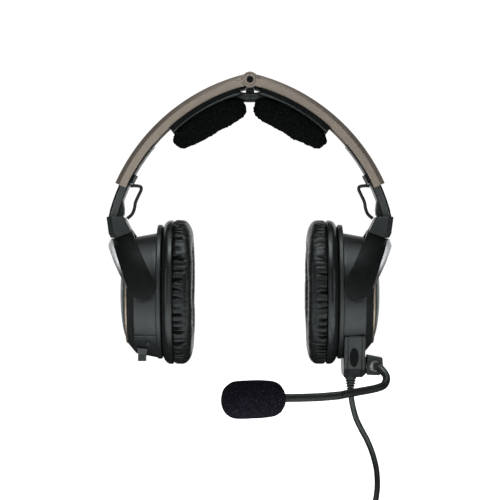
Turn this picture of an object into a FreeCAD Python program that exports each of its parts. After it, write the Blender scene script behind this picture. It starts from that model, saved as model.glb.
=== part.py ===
"""Aviation headset with hinged headband, sliding yokes, tilting cups and a boom microphone.

Millimetres. The origin is the midpoint between the two ear cushions: +X points to the
wearer's left ear, -Y to where the face looks, +Z up. Most pieces are drawn once, on the
left (+X) side, and mirrored for the right.
"""
import FreeCAD, Part
import math
import os

import Sketcher

V = FreeCAD.Vector
COIL_X, COIL_Y = 36.0, 18.0

SIZES = (
    # headband
    ("hinge_height", 143.2), ("arc_offset", 28.4), ("arc_height", 20.5),
    ("arm_outer", 130.6), ("arm_inner", 122.6), ("arm_half_depth", 12.0),
    ("arm_wall", 2.2), ("arm_bevel", 2.8), ("arm_bevel_depth", 3.6),
    ("arm_low_angle", 24.0), ("hinge_angle", 76.97),
    ("hinge_ball", 5.3), ("hinge_gap", 0.3), ("barrel_half", 7.8), ("pin_radius", 1.9),
    ("pad_inner", 99.5), ("pad_outer", 117.6), ("pad_half_depth", 19.0),
    ("pad_low_angle", 46.0), ("pad_high_angle", 72.3),
    ("carrier_half_depth", 13.0), ("carrier_low_angle", 47.5), ("carrier_high_angle", 73.0),
    # sliders
    ("slider_inner", 121.6), ("slider_outer", 127.6), ("slider_half_depth", 9.3),
    ("slider_low_angle", 12.4), ("slider_high_angle", 40.0),
    # yoke, in the plane that leans out by yoke_lean from the cup pivot
    ("pivot_x", 73.7), ("pivot_z", 4.7), ("yoke_lean", 20.2),
    ("fork_inner", 34.1), ("fork_outer", 37.4), ("fork_end", 8.8), ("fork_top_half", 6.9),
    ("block_half_depth", 13.0), ("block_low", 37.9),
    ("pivot_pin", 2.5), ("running_gap", 0.05), ("eye_x", 71.8), ("plate_inner", 30.5),
    # cups
    ("cushion_face", 37.6), ("cushion_back", 52.1), ("cushion_half_height", 49.2),
    ("cushion_half_depth", 40.0), ("ear_half_height", 31.0), ("ear_half_depth", 22.0),
    ("flange_face", 59.1), ("shell_face", 62.5), ("shell_shoulder", 77.0),
    ("shell_end", 82.3), ("trim_end", 83.6), ("cup_wall", 2.4), ("driver_radius", 19.0),
    ("cover_line", -28.5),
    # microphone
    ("boom_y", -14.0), ("boom_z", -49.0), ("boom_radius", 2.6), ("mic_radius", 12.2),
    # cord
    ("cord_radius", 2.0), ("floor_z", -170.0), ("coil_radius", 24.75), ("coil_half_width", 10.9),
)


class Size:
    """A length or angle: its number, and the sheet expression that drives a property."""

    def __init__(self, number, text):
        self.number = number
        self.text = text

    def joined(self, other, sign, number):
        return Size(number, f"({self.text} {sign} {other.text})")

    def __add__(self, other):
        other = as_size(other)
        return self.joined(other, "+", self.number + other.number)

    def __sub__(self, other):
        other = as_size(other)
        return self.joined(other, "-", self.number - other.number)

    def __rsub__(self, other):
        return as_size(other) - self

    def __mul__(self, other):
        other = as_size(other)
        return self.joined(other, "*", self.number * other.number)

    def __neg__(self):
        return Size(-self.number, f"(-1 * {self.text})")


def as_size(value):
    return value if isinstance(value, Size) else Size(float(value), repr(float(value)))


doc = FreeCAD.newDocument("headset")
sheet = doc.addObject("Spreadsheet::Sheet", "Dims")
d = {}
for row, (alias, number) in enumerate(SIZES, start=1):
    sheet.set(f"A{row}", alias)
    sheet.set(f"B{row}", str(number))
    sheet.setAlias(f"B{row}", alias)
    d[alias] = Size(number, f"Dims.{alias}")
doc.recompute()

pieces = []
work_names = iter(range(1, 100000))


def make(kind, stem="Work"):
    return doc.addObject(kind, f"{stem}{next(work_names)}")


def bind(thing, name, value):
    """Give a property its number, and its expression when the value comes from the sheet."""
    value = as_size(value)
    if "." not in name:
        setattr(thing, name, value.number)
    if "Dims" in value.text:
        thing.setExpression(name, value.text)


def place(thing, x=0.0, y=0.0, z=0.0, axis=V(0, 0, 1), angle=0.0):
    x, y, z, angle = (as_size(value) for value in (x, y, z, angle))
    base = V(x.number, y.number, z.number)
    thing.Placement = FreeCAD.Placement(base, FreeCAD.Rotation(axis, angle.number))
    bind(thing, "Placement.Base.x", x)
    bind(thing, "Placement.Base.y", y)
    bind(thing, "Placement.Base.z", z)
    bind(thing, "Placement.Rotation.Angle", angle)
    return thing


def node(thing, label):
    """Name a finished piece."""
    thing.Label = label
    pieces.append(thing)
    return thing


def outline(body, role, points):
    """A closed sketch of straight edges on one of the body's own planes."""
    plane = [f for f in body.Origin.OriginFeatures if f.Role == role][0]
    sketch = body.newObject("Sketcher::SketchObject", f"Outline{next(work_names)}")
    sketch.AttachmentSupport = [(plane, "")]
    sketch.MapMode = "FlatFace"
    corners = [(as_size(a), as_size(b)) for a, b in points]
    flat = [V(a.number, b.number, 0) for a, b in corners]
    for index, corner in enumerate(flat):
        sketch.addGeometry(Part.LineSegment(corner, flat[(index + 1) % len(flat)]), False)
    for index in range(len(flat)):
        following = (index + 1) % len(flat)
        sketch.addConstraint(Sketcher.Constraint("Coincident", index, 2, following, 1))
    for index, corner in enumerate(corners):
        for way, value in zip(("DistanceX", "DistanceY"), corner):
            fixed = Sketcher.Constraint(way, -1, 1, index, 1, value.number)
            number = sketch.addConstraint(fixed)
            if "Dims" in value.text:
                sketch.setExpression(f"Constraints[{number}]", value.text)
    return sketch


def slab(points, depth, role="XZ_Plane"):
    """An outline padded to both sides of its plane, by default a front view's outline."""
    body = make("PartDesign::Body", "Slab")
    pad = body.newObject("PartDesign::Pad", f"Pad{next(work_names)}")
    pad.Profile = outline(body, role, points)
    pad.SideType = "Symmetric"
    bind(pad, "Length", depth)
    return body


def arc_bar(points, low, high, centre_x=None, centre_z=None):
    """A section (radius, depth) turned about the headband's arc centre, between two angles."""
    low, high = as_size(low), as_size(high)
    body = make("PartDesign::Body", "Arc")
    turn = body.newObject("PartDesign::Revolution", f"Turn{next(work_names)}")
    section = outline(body, "XY_Plane", points)
    turn.Profile = section
    turn.ReferenceAxis = (section, ["V_Axis"])
    bind(turn, "Angle", high - low)
    centre_x = -d["arc_offset"] if centre_x is None else centre_x
    centre_z = d["arc_height"] if centre_z is None else centre_z
    return place(body, centre_x, 0, centre_z, V(0, -1, 0), high)


def rod(radius, length, x=0.0, y=0.0, z=0.0, along="Z"):
    """A cylinder from its first end, along +X, +Y or +Z."""
    cylinder = make("Part::Cylinder")
    bind(cylinder, "Radius", radius)
    bind(cylinder, "Height", length)
    axis, angle = {"X": (V(0, 1, 0), 90), "Y": (V(1, 0, 0), -90), "Z": (V(0, 0, 1), 0)}[along]
    return place(cylinder, x, y, z, axis, angle)


def block(x_size, y_size, z_size, x, y, z):
    box = make("Part::Box")
    bind(box, "Length", x_size)
    bind(box, "Width", y_size)
    bind(box, "Height", z_size)
    return place(box, x, y, z)


def cut(base, *tools):
    for tool in tools:
        result = make("Part::Cut")
        result.Base, result.Tool = base, tool
        result.Refine = False
        base = result
    return base


def fuse(*shapes):
    result = make("Part::MultiFuse")
    result.Shapes = list(shapes)
    result.Refine = False
    return result


def common(base, tool):
    result = make("Part::Common")
    result.Base, result.Tool = base, tool
    result.Refine = False
    return result


def rounded(base, radius, wanted):
    """Round the edges that the test wanted(edge) picks."""
    doc.recompute()
    result = make("Part::Fillet")
    result.Base = base
    edges = enumerate(base.Shape.Edges, start=1)
    result.Edges = [(number, radius, radius) for number, edge in edges if wanted(edge)]
    return result


def mirrored(source, label):
    result = make("Part::Mirroring")
    result.Source = source
    result.Normal = V(1, 0, 0)
    return node(result, label)


def both(thing, name):
    """One piece for the left side, and its mirror image for the right."""
    node(thing, f"left_{name}")
    mirrored(thing, f"right_{name}")
    return thing


def in_yoke(thing, u=0.0, w=0.0):
    """Stand a piece drawn about the cup pivot in the yoke's leaning plane."""
    lean = math.radians(d["yoke_lean"].number)
    out, up = math.cos(lean), math.sin(lean)
    x = d["pivot_x"] + (u * out + w * up)
    z = d["pivot_z"] + (w * out - u * up)
    return place(thing, x, 0, z, V(0, 1, 0), d["yoke_lean"])


def oval(x, half_height, half_depth, centre_z=0.0):
    """An upright ellipse that faces the wearer's head."""
    ellipse = make("Part::Ellipse")
    bind(ellipse, "MajorRadius", half_height)
    bind(ellipse, "MinorRadius", half_depth)
    return place(ellipse, x, 0, centre_z, V(0, 1, 0), -90)


def oval_plate(x, thickness, half_height, half_depth, centre_z=0.0):
    plate = make("Part::Extrusion")
    plate.Base = oval(x, half_height, half_depth, centre_z)
    plate.DirMode = "Custom"
    plate.Dir = V(1, 0, 0)
    plate.Solid = True
    bind(plate, "LengthFwd", thickness)
    return plate


def loft(*sections):
    result = make("Part::Loft")
    result.Sections = list(sections)
    result.Solid = True
    result.Ruled = True
    return result


def route_wire(points, report=""):
    """Straight runs joined by arcs as large as the two runs beside each corner allow."""
    points = [V(*point) for point in points]
    edges = []
    start = points[0]
    radii = []
    for before, corner, after in zip(points, points[1:], points[2:]):
        back, ahead = before - corner, after - corner
        short = min(back.Length, ahead.Length)
        turn = math.pi - back.getAngle(ahead)
        reach = 0.45 * short
        radii.append(reach / math.tan(turn / 2))
        back.normalize()
        ahead.normalize()
        first, last = corner + back * reach, corner + ahead * reach
        middle = (back + ahead).normalize()
        sagitta = radii[-1] / math.cos(turn / 2) - radii[-1]
        edges.append(Part.LineSegment(start, first).toShape())
        edges.append(Part.Arc(first, corner + middle * sagitta, last).toShape())
        start = last
    edges.append(Part.LineSegment(start, points[-1]).toShape())
    if report:
        print(report, "radii", [round(radius, 1) for radius in radii])
    return Part.Wire(edges)


def tube(points, radius, label, report=True):
    """A round tube along a route; its volume is compared with its section times length."""
    wire = route_wire(points, label if report else "")
    way = V(*points[1]) - V(*points[0])
    circle = Part.Wire(Part.Circle(V(*points[0]), way, radius.number).toShape())
    solid = wire.makePipeShell([circle], True, False)
    feature = make("Part::Feature", "Tube")
    feature.Shape = solid
    expected = math.pi * radius.number ** 2 * wire.Length
    print(label, "length", round(wire.Length, 1), "volume ratio", round(solid.Volume / expected, 4))
    return feature


def hinge_and_arms():
    """Two curved channel arms on one pin: the left has two ears, the right the barrel."""
    depth, wall = d["arm_half_depth"], d["arm_wall"]
    outer, inner = d["arm_outer"], d["arm_inner"]
    bevel, bevel_depth = d["arm_bevel"], d["arm_bevel_depth"]
    section = [
        (inner, -depth), (outer - bevel, -depth), (outer, bevel_depth - depth),
        (outer, depth - bevel_depth), (outer - bevel, depth), (inner, depth),
        (inner, depth - wall), (outer - wall, depth - wall),
        (outer - wall, wall - depth), (inner, wall - depth),
    ]
    height, ball, barrel = d["hinge_height"], d["hinge_ball"], d["barrel_half"]
    swing = ball + d["hinge_gap"]
    ear_start = barrel + d["hinge_gap"]
    pin = d["pin_radius"]
    loose_pin = pin + d["running_gap"]

    def across(radius, start, length):
        return rod(radius, length, 0, start, height, "Y")

    channel = arc_bar(section, d["arm_low_angle"], d["hinge_angle"])
    middle = across(swing, -(barrel + 0.15), barrel * 2 + 0.3)
    ears = [across(ball, start, depth - ear_start) for start in (-depth, ear_start)]
    left = fuse(cut(channel, middle), *ears)
    seats = [across(3.9, -depth, 1.0), across(3.9, depth - 1.0, 1.0)]
    node(cut(left, across(loose_pin, -depth, depth * 2), *seats), "left_arm")

    channel = arc_bar(section, d["arm_low_angle"], d["hinge_angle"])
    right = make("Part::Mirroring")
    right.Source = channel
    right.Normal = V(1, 0, 0)
    outsides = [
        across(swing, -(depth + 0.1), depth - barrel - 0.05),
        across(swing, barrel + 0.15, depth - barrel - 0.05),
    ]
    right = fuse(cut(right, *outsides), across(ball, -barrel, barrel * 2))
    collar_room = [across(3.7, -2.8, 5.6), block(9, 5.6, 8, -4.5, -2.8, height - 8)]
    spring_room = across(3.8, 2.8, 4.6)
    bore = across(loose_pin, -barrel, barrel * 2)
    node(cut(right, *collar_room, spring_room, bore), "right_arm")

    pin_head = across(3.7, -(depth + 0.5), 1.4)
    socket = across(2.3, -(depth + 0.6), 2.0)
    shaft = across(pin, -(depth - 0.9), depth * 2 - 1.8)
    tail = across(3.7, depth - 0.9, 1.4)
    node(fuse(cut(pin_head, socket), shaft, tail), "hinge_pin")

    spring = make("Part::Feature", "Spring")
    coil = Part.makeHelix(1.15, 3.45, 2.95)
    wire = Part.Wire(coil.Edges)
    circle = Part.Wire(Part.Circle(V(2.95, 0, 0), V(0, 1, 0), 0.45).toShape())
    spring.Shape = wire.makePipeShell([circle], True, True)
    node(place(spring, 0, 3.4, height, V(1, 0, 0), -90), "torsion_spring")

    stem = block(3.0, 5.0, 10.0, -1.5, -2.5, height - 11.8)
    foot = block(5.8, 10.0, 5.9, -2.9, -5.0, height - 11.8)
    post = fuse(across(3.3, -2.5, 5.0), stem, foot)
    node(cut(post, across(pin, -3.0, 6.0)), "bridge_post")
    band = [(101.4, -9), (105.3, -9), (105.3, 9), (101.4, 9)]
    bridge = arc_bar(band, -93.2, -86.8, 0, height - 11.9 + 101.4)
    node(bridge, "bridge_band")


def head_pads():
    """Under each arm: a plastic carrier plugged into the channel, and its fleece pad."""
    depth, wall = d["carrier_half_depth"], d["arm_wall"]
    top, shelf, tongue = d["arm_outer"] - wall, d["arm_inner"], 9.2
    carrier = arc_bar([
        (d["pad_outer"], -depth), (shelf, -depth), (shelf, -tongue), (top, -tongue),
        (top, tongue), (shelf, tongue), (shelf, depth), (d["pad_outer"], depth),
    ], d["carrier_low_angle"], d["carrier_high_angle"])
    both(carrier, "pad_carrier")
    half = d["pad_half_depth"]
    pad = arc_bar([
        (d["pad_inner"], -half), (d["pad_outer"], -half),
        (d["pad_outer"], half), (d["pad_inner"], half),
    ], d["pad_low_angle"], d["pad_high_angle"])
    both(rounded(pad, 7.0, lambda edge: True), "head_pad")


def slider_and_block():
    """The metal strip that slides in the arm, the strap that keeps it, and its end block."""
    inner, outer, half = d["slider_inner"], d["slider_outer"], d["slider_half_depth"]
    bevel = 1.2
    strip = arc_bar([
        (inner, -half), (outer - bevel, -half), (outer, bevel - half),
        (outer, half - bevel), (outer - bevel, half), (inner, half),
    ], d["slider_low_angle"], d["slider_high_angle"])
    notches = []
    for angle in range(28, 39, 5):
        notch = block(2.2, 40, 1.6, -1.1, -20, -0.8)
        across = math.radians(angle)
        radius = outer.number
        x = radius * math.cos(across) - d["arc_offset"].number
        z = radius * math.sin(across) + d["arc_height"].number
        box = V(1.1, 20, 0.8)
        turned = FreeCAD.Rotation(V(0, -1, 0), angle)
        notch.Placement = FreeCAD.Placement(V(x, 0, z) - turned.multVec(box), turned)
        notches.append(notch)
    both(cut(strip, *notches), "slider_strip")

    edge, rim = d["arm_inner"], d["arm_half_depth"]
    wall_start, strap = rim - d["arm_wall"], edge - 2.4
    keeper = arc_bar([
        (strap, -rim), (edge, -rim), (edge, -wall_start), (edge - 1.4, -wall_start),
        (edge - 1.4, wall_start), (edge, wall_start), (edge, rim), (strap, rim),
    ], 26.0, 29.0)
    both(keeper, "wire_clip")

    half, low = d["block_half_depth"], d["block_low"].number
    body = slab([
        (-7.0, low - 4.5), (7.4, low - 4.5), (8.3, 40.0), (5.8, 51.3), (-5.2, 47.2),
        (-5.6, 43.9),
    ], half * 2)
    doc.recompute()
    bevel = make("Part::Chamfer")
    bevel.Base = body
    outer_edges = [
        number for number, edge in enumerate(body.Shape.Edges, start=1)
        if edge.BoundBox.XMin > 5.5 and edge.BoundBox.YLength < 0.1
    ]
    bevel.Edges = [(number, 3.8, 3.8) for number in outer_edges]
    in_yoke(body)
    over_fork = in_yoke(rod(d["block_low"], 24.0, 0, 0, 0, "X"), -12.0)
    over_fork.setExpression("Placement.Rotation.Angle", "Dims.yoke_lean + 90")
    both(cut(rounded(bevel, 0.7, lambda edge: True), over_fork), "yoke_knuckle")

    wire = [
        (81.2, 0, 71.6), (75.0, 0, 70.8), (75.6, 0, 65.8), (78.8, 0, 59.6),
        (79.8, 0, 52.6), (83.4, 0, 49.6),
    ]
    both(tube(wire, as_size(1.0), "loop_wire"), "loop_wire")


def yoke():
    """The fork: a half ring in the leaning plane, with an eye at each end, and its plate."""
    inner, outer, end = d["fork_inner"], d["fork_outer"], d["fork_end"]
    flat = in_yoke(rod(outer, 15.0, 0, 0, 0, "X"), -13.0)
    flat.Placement.Rotation = FreeCAD.Rotation(V(0, 1, 0), d["yoke_lean"].number + 90)
    flat.setExpression("Placement.Rotation.Angle", "Dims.yoke_lean + 90")
    bevel = make("Part::Cone")
    bind(bevel, "Radius1", outer)
    bind(bevel, "Radius2", outer - 2.6)
    bevel.Height = 9.0
    bevel = in_yoke(bevel, 2.0)
    bevel.setExpression("Placement.Rotation.Angle", "Dims.yoke_lean + 90")
    hollow = in_yoke(rod(inner, 40.0, 0, 0, 0, "X"), -20.0)
    hollow.setExpression("Placement.Rotation.Angle", "Dims.yoke_lean + 90")
    ring = cut(fuse(flat, bevel), hollow)

    top = d["fork_top_half"]
    inward = (d["pivot_x"] - d["eye_x"]) * 0.95
    strip = in_yoke(slab([(-top, 39), (top, 39), (end - inward, 0.4), (-end - inward, 0.4)], 90))
    eye = rod(end, 90, d["eye_x"], -45, d["pivot_z"], "Y")
    fork = common(ring, fuse(strip, eye))

    plate = in_yoke(slab([
        (7.0, 36.2), (7.0, 1.0), (7.6, 1.0), (9.1, 12.0), (10.0, 20.0), (10.7, 32.0),
        (8.6, 37.2),
    ], 80))
    rim = in_yoke(rod(outer - 0.9, 12.0, 0, 0, 0, "X"), 3.0)
    rim.setExpression("Placement.Rotation.Angle", "Dims.yoke_lean + 90")
    window = in_yoke(rod(d["plate_inner"], 20.0, 0, 0, 0, "X"), 0.0)
    window.setExpression("Placement.Rotation.Angle", "Dims.yoke_lean + 90")
    plate = cut(common(plate, rim), window)
    pin = d["pivot_pin"]
    bores = [rod(pin, 6.0, d["pivot_x"], y, d["pivot_z"], "Y") for y in (30.5, -36.5)]
    both(cut(fork, plate, *bores), "fork")
    both(plate, "fork_plate")
    pins = [rod(pin, 9.5, d["pivot_x"], y, d["pivot_z"], "Y") for y in (27.0, -36.5)]
    both(fuse(*pins), "pivot_pins")


def shell_outline(wall=0.0):
    """The tapered oval cup, or its cavity when a wall thickness is given."""
    return loft(
        oval(d["shell_face"], 42.3 - wall, 34.0 - wall, -2.3),
        oval(d["shell_shoulder"], 39.5 - wall, 31.8 - wall, -2.15),
        oval(d["shell_end"] - wall, 33.2 - wall / 2, 26.0 - wall / 2, -2.15),
    )


def below_cover_line():
    """The room under the cup's panel line, for the cover or the cable module."""
    length = d["shell_shoulder"] - d["shell_face"]
    return block(length, 80, 30, d["shell_face"], -40, d["cover_line"] - 30)


def cups():
    """Each cup from the head outwards: cushion, rings, baffle, driver, shell, trim, cap."""
    wall = d["cup_wall"].number
    x, z, pin = d["pivot_x"], d["pivot_z"], d["pivot_pin"]
    room = block(30, 58, 80, d["shell_face"] - 5, -29, d["cover_line"] + wall)
    cavity = common(shell_outline(wall), room)
    room_for_eye = d["fork_end"] + 0.9
    recesses = [rod(room_for_eye, 10.0, d["eye_x"], y, z, "Y") for y in (32.0, -42.0)]
    bores = [rod(pin + d["running_gap"], 9.0, x, y, z, "Y") for y in (24.5, -33.5)]
    bosses = [rod(6.0, 3.5, x, y, z, "Y") for y in (26.2, -29.7)]
    hollow = cut(cavity, *bosses)
    shell = cut(shell_outline(), *recesses, hollow, *bores, below_cover_line())
    both(shell, "cup_shell")

    dome = make("Part::Ellipsoid")
    dome.Radius1, dome.Radius2, dome.Radius3 = 31.5, 5.4, 25.0
    dome.Angle1, dome.Angle2, dome.Angle3 = -90, 90, 360
    place(dome, d["shell_end"], 0, -1.0)
    front = block(40, 90, 90, d["shell_end"] + 0.7, -45, -45)
    cap = common(dome, front)
    trim = oval_plate(d["shell_end"], d["trim_end"] - d["shell_end"], 32.65, 25.6, -2.15)
    trim = rounded(trim, 0.7, lambda edge: edge.BoundBox.XMin > d["trim_end"].number - 0.1)
    both(cut(trim, cap), "trim_ring")
    both(cap, "cup_cap")

    plate = oval_plate(d["flange_face"], d["shell_face"] - d["flange_face"], 45.5, 36.0, 0.1)
    plate = rounded(plate, 1.0, lambda edge: True)
    hole = rod(d["driver_radius"], 10, d["flange_face"] - 2, 0, 0, "X")
    both(cut(plate, hole), "baffle")
    start = d["flange_face"]
    driver = fuse(rod(d["driver_radius"], 7, start, 0, 0, "X"), rod(10, 11, start, 0, 0, "X"))
    both(driver, "driver")

    back, face = d["cushion_back"], d["flange_face"]
    base = oval_plate(back, face - back, 47.8, 38.8, -0.15)
    base = rounded(base, 1.6, lambda edge: True)
    both(cut(base, oval_plate(back - 1, 10, 33.0, 24.0)), "cushion_base")
    both(oval_plate(face - 1.6, 1.6, 33.0, 24.0), "ear_screen")

    face, high, deep = d["cushion_face"], d["cushion_half_height"], d["cushion_half_depth"]
    ring = rounded(oval_plate(face, back - face, high, deep), 6.0, lambda edge: True)
    hole = oval_plate(face - 1, 30, d["ear_half_height"], d["ear_half_depth"])
    both(cut(ring, hole), "ear_cushion")

    posts = [rod(1.5, 1.8, 77.8, y, z, "X") for y in (-12, 12) for z in (-14, 14)]
    node(fuse(block(1.6, 32, 36, 76.2, -16, -18), *posts), "circuit_board")


def right_cover():
    """The blank cover that closes the right cup where the left carries the microphone."""
    cover = common(shell_outline(), below_cover_line())
    cover = cut(cover, block(30, 80, 0.3, d["shell_face"] - 5, -40, d["cover_line"] - 0.3))
    tongue = block(5.2, 8.0, 6.2, 69.8, -17.0, -46.0)
    peg_room = rod(2.0, 12.0, 68.0, -30.0, -34.2, "Y")
    clip = slab([(68.1, -37.2), (75.7, -36.7), (74.8, -41.8), (69.2, -41.8)], 8.0)
    clip.Placement.Base = V(0, -14.6, 0)
    mirrored(cut(fuse(cover, tongue), peg_room, clip), "cover_blank")
    mirrored(rod(1.3, 3.6, 68.0, -21.6, -34.2, "Y"), "cover_peg")
    mirrored(clip, "cover_clip")


def cable_module():
    """The left cup's lower block: latch button, strain relief and the boom's washer."""
    line = d["cover_line"] - 0.3
    front = slab([
        (62.7, line), (76.9, line), (76.9, -42.4), (77.6, -43.6), (77.6, -54.6),
        (75.2, -57.0), (62.7, -57.0),
    ], 80)
    side = slab([
        (-26.5, -27), (26.5, -27), (23.5, -42), (19.5, -51), (14, -58.6),
        (-14, -58.6), (-19.5, -51), (-23.5, -42),
    ], 200, "YZ_Plane")
    module = rounded(common(front, side), 0.9, lambda edge: True)
    button_room = loft_button(69.4, -43.3, 6.5, 2.95, -27.0, 8.0)
    node(cut(module, button_room), "cable_module")
    node(loft_button(69.4, -43.3, 6.3, 2.75, -23.6, 3.2), "latch_button")

    relief = make("Part::Cone")
    relief.Radius1, relief.Radius2, relief.Height = 2.0, 3.7, 9.5
    place(relief, 68.3, 0, -66.5)
    ribs = []
    for level in range(4):
        rib = make("Part::Torus")
        rib.Radius1, rib.Radius2 = 2.4 + 0.3 * level, 0.55
        ribs.append(place(rib, 68.3, 0, -65.1 + 1.7 * level))
    node(fuse(relief, *ribs), "strain_relief")
    node(rod(2.6, 2.6, 77.6, d["boom_y"], d["boom_z"], "X"), "boom_washer")


def loft_button(x, z, half_height, half_width, y, length):
    """An upright oval prism that faces the front."""
    ellipse = make("Part::Ellipse")
    ellipse.MajorRadius, ellipse.MinorRadius = half_height, half_width
    upright = FreeCAD.Rotation(V(0, 0, 1), V(1, 0, 0), V(0, -1, 0), "ZXY")
    ellipse.Placement = FreeCAD.Placement(V(x, y, z), upright)
    prism = make("Part::Extrusion")
    prism.Base = ellipse
    prism.DirMode = "Custom"
    prism.Dir = V(0, 1, 0)
    prism.LengthFwd = length
    prism.Solid = True
    return prism


def boom():
    """The swivelling knuckle, its collar, the rigid tube, the gooseneck and the microphone."""
    radius = d["boom_radius"]
    body = slab([(78.0, -41.6), (88.6, -43.6), (89.2, -50.4), (86.8, -55.6), (78.0, -55.2)], 10)
    place(body, 0, d["boom_y"], 0)
    neck = [
        (81.2, -18.9, -48.8), (86.0, -23.0, -49.4), (91.2, -28.6, -55.6), (88.8, -35.6, -60.9),
        (82.2, -42.8, -62.4), (75.2, -48.5, -63.2), (66.0, -58.0, -63.9), (57.6, -66.0, -64.9),
    ]
    washer_room = rod(3.0, 3.4, 77.2, d["boom_y"], d["boom_z"], "X")
    node(cut(rounded(body, 0.9, lambda edge: True), washer_room), "boom_knuckle")
    way = V(*neck[1]) - V(*neck[0])
    ring = make("Part::Cylinder")
    bind(ring, "Radius", radius + 1.0)
    ring.Height = 2.2
    hole = make("Part::Cylinder")
    bind(hole, "Radius", radius)
    hole.Height = 2.2
    turn = FreeCAD.Rotation(V(0, 0, 1), way)
    for tool in (ring, hole):
        tool.Placement = FreeCAD.Placement(V(*neck[0]) + way.normalize() * 1.3, turn)
    node(cut(ring, hole), "boom_collar")
    node(tube(neck, radius, "boom_tube", False), "boom_tube")
    flexible = [
        (57.6, -66.0, -64.9), (46.0, -75.6, -65.1), (34.0, -84.0, -64.9), (21.2, -91.0, -64.5),
    ]
    node(tube(flexible, radius * 0.96, "gooseneck", False), "gooseneck")

    tip, inside = V(*flexible[-1]), V(-18.6, -101.9, -65.3)
    way = (inside - tip).normalize()
    turn = FreeCAD.Rotation(V(0, 0, 1), way)
    case = make("Part::Cylinder")
    case.Radius, case.Height = 4.6, 22.0
    case.Placement = FreeCAD.Placement(tip + way * 0.9, turn)
    foam = make("Part::Cylinder")
    bind(foam, "Radius", d["mic_radius"])
    foam.Height = 40.0
    foam.Placement = FreeCAD.Placement(tip + way * 0.9, turn)
    foam = rounded(foam, 9.0, lambda edge: edge.Curve.TypeId == "Part::GeomCircle")
    node(rounded(case, 0.8, lambda edge: edge.Curve.TypeId == "Part::GeomCircle"), "mic_case")
    node(cut(foam, case), "windscreen")


def cord():
    """The cord down from the strain relief, its put-away coil with a tie, and the plug."""
    radius = d["cord_radius"]
    route = [
        (68.3, 0, -66.5), (68.8, 0.4, -72.5), (70.2, 1.2, -79.5), (72.2, 1.4, -86.5),
        (75.6, 2.0, -93.5), (79.9, 3.6, -101.0), (84.0, 6.5, -111.0), (87.2, 10.5, -123.5),
        (87.6, 14.0, -138.0), (84.5, 14.6, -151.5), (77.6, 9.2, -162.5), (67.2, -0.6, -167.5),
        (55.2, -9.4, -168.0),
    ]
    node(tube(route, radius, "cord"), "cord")
    floor, half_width, thick = d["floor_z"], d["coil_half_width"], 4 * radius.number + 0.3
    middle = d["coil_radius"]
    outside = rod(middle + half_width, thick, COIL_X, COIL_Y, floor)
    inside = rod(middle - half_width, thick + 2, COIL_X, COIL_Y, floor - 1)
    is_rim = lambda edge: edge.Curve.TypeId == "Part::GeomCircle"
    ring = rounded(cut(outside, inside), 2.0, is_rim)
    grip = half_width.number + 0.9
    tie_x = COIL_X - middle.number - grip
    tie = block(grip * 2, 6.0, thick + 0.9, tie_x, COIL_Y - 3.0, floor)
    tie = rounded(tie, 0.8, lambda edge: True)
    node(cut(ring, tie), "cord_coil")
    node(tie, "cord_tie")
    lead = [
        (45.4, 50.15, -164.2), (57.2, 47.4, -166.2), (68.6, 41.6, -167.6),
        (78.0, 33.6, -166.4), (84.5, 23.5, -164.5),
    ]
    node(tube(lead, radius, "cord_lead"), "cord_lead")
    way = V(0.3, -0.95, 0).normalize()
    start = V(*lead[-1])
    turn = FreeCAD.Rotation(V(0, 0, 1), way)

    def along(size, length, offset):
        step = make("Part::Cylinder")
        step.Radius, step.Height = size, length
        step.Placement = FreeCAD.Placement(start + way * offset, turn)
        return step

    node(rounded(along(5.4, 24.0, 0.0), 1.0, lambda edge: True), "plug_body")
    steps = [along(3.57, 14.0, 24.0), along(2.6, 1.2, 38.0), along(3.57, 3.6, 39.2)]
    steps += [along(2.6, 1.2, 42.8), along(3.3, 3.0, 44.0)]
    node(fuse(*steps), "plug_pin")


for build in (hinge_and_arms, head_pads, slider_and_block, yoke, cups, right_cover,
              cable_module, boom, cord):
    build()
doc.recompute()

faults = [item.Label for item in doc.Objects if {"Invalid", "Error"} & set(item.State)]
for piece in pieces:
    shape = piece.Shape
    if shape.isNull() or not shape.isValid() or shape.Volume < 1:
        faults.append(piece.Label)
if faults:
    raise RuntimeError(f"failed objects: {faults}")

os.makedirs("parts", exist_ok=True)
for piece in pieces:
    piece.Shape.exportStep(f"parts/{piece.Label}.step")
print(len(pieces), "pieces written")
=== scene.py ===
"""Looks of the aviation headset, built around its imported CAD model.

Lengths in the shape code are millimetres, turned into metres by the mesh makers.
Left is the wearer's left, +X. Pieces that come in pairs are made once and mirrored.
"""
import math
import random

import bmesh
import bpy
import numpy as np
from mathutils import Matrix, Vector, noise


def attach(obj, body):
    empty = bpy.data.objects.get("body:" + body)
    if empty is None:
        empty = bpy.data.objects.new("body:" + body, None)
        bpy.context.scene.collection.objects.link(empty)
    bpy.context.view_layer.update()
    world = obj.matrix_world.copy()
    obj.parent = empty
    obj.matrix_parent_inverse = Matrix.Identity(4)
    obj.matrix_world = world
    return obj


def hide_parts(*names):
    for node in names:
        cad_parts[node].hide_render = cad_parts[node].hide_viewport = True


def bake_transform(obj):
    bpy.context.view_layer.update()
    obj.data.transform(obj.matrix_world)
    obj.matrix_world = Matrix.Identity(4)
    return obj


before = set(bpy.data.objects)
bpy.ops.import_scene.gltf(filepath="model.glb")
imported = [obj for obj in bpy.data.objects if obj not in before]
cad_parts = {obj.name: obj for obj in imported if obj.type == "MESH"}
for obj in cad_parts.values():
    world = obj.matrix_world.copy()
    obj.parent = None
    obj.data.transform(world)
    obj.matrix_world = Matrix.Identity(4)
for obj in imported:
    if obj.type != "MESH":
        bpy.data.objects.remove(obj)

MM = 0.001
ARC_X, ARC_Z = -28.4, 20.5    # the middle of the left arm's arc, which its slider and pads share
PIN_Z = 143.2                 # the height of the headband's hinge pin
scene = bpy.context.scene
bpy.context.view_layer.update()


# ---------------------------------------------------------------- camera

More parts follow.
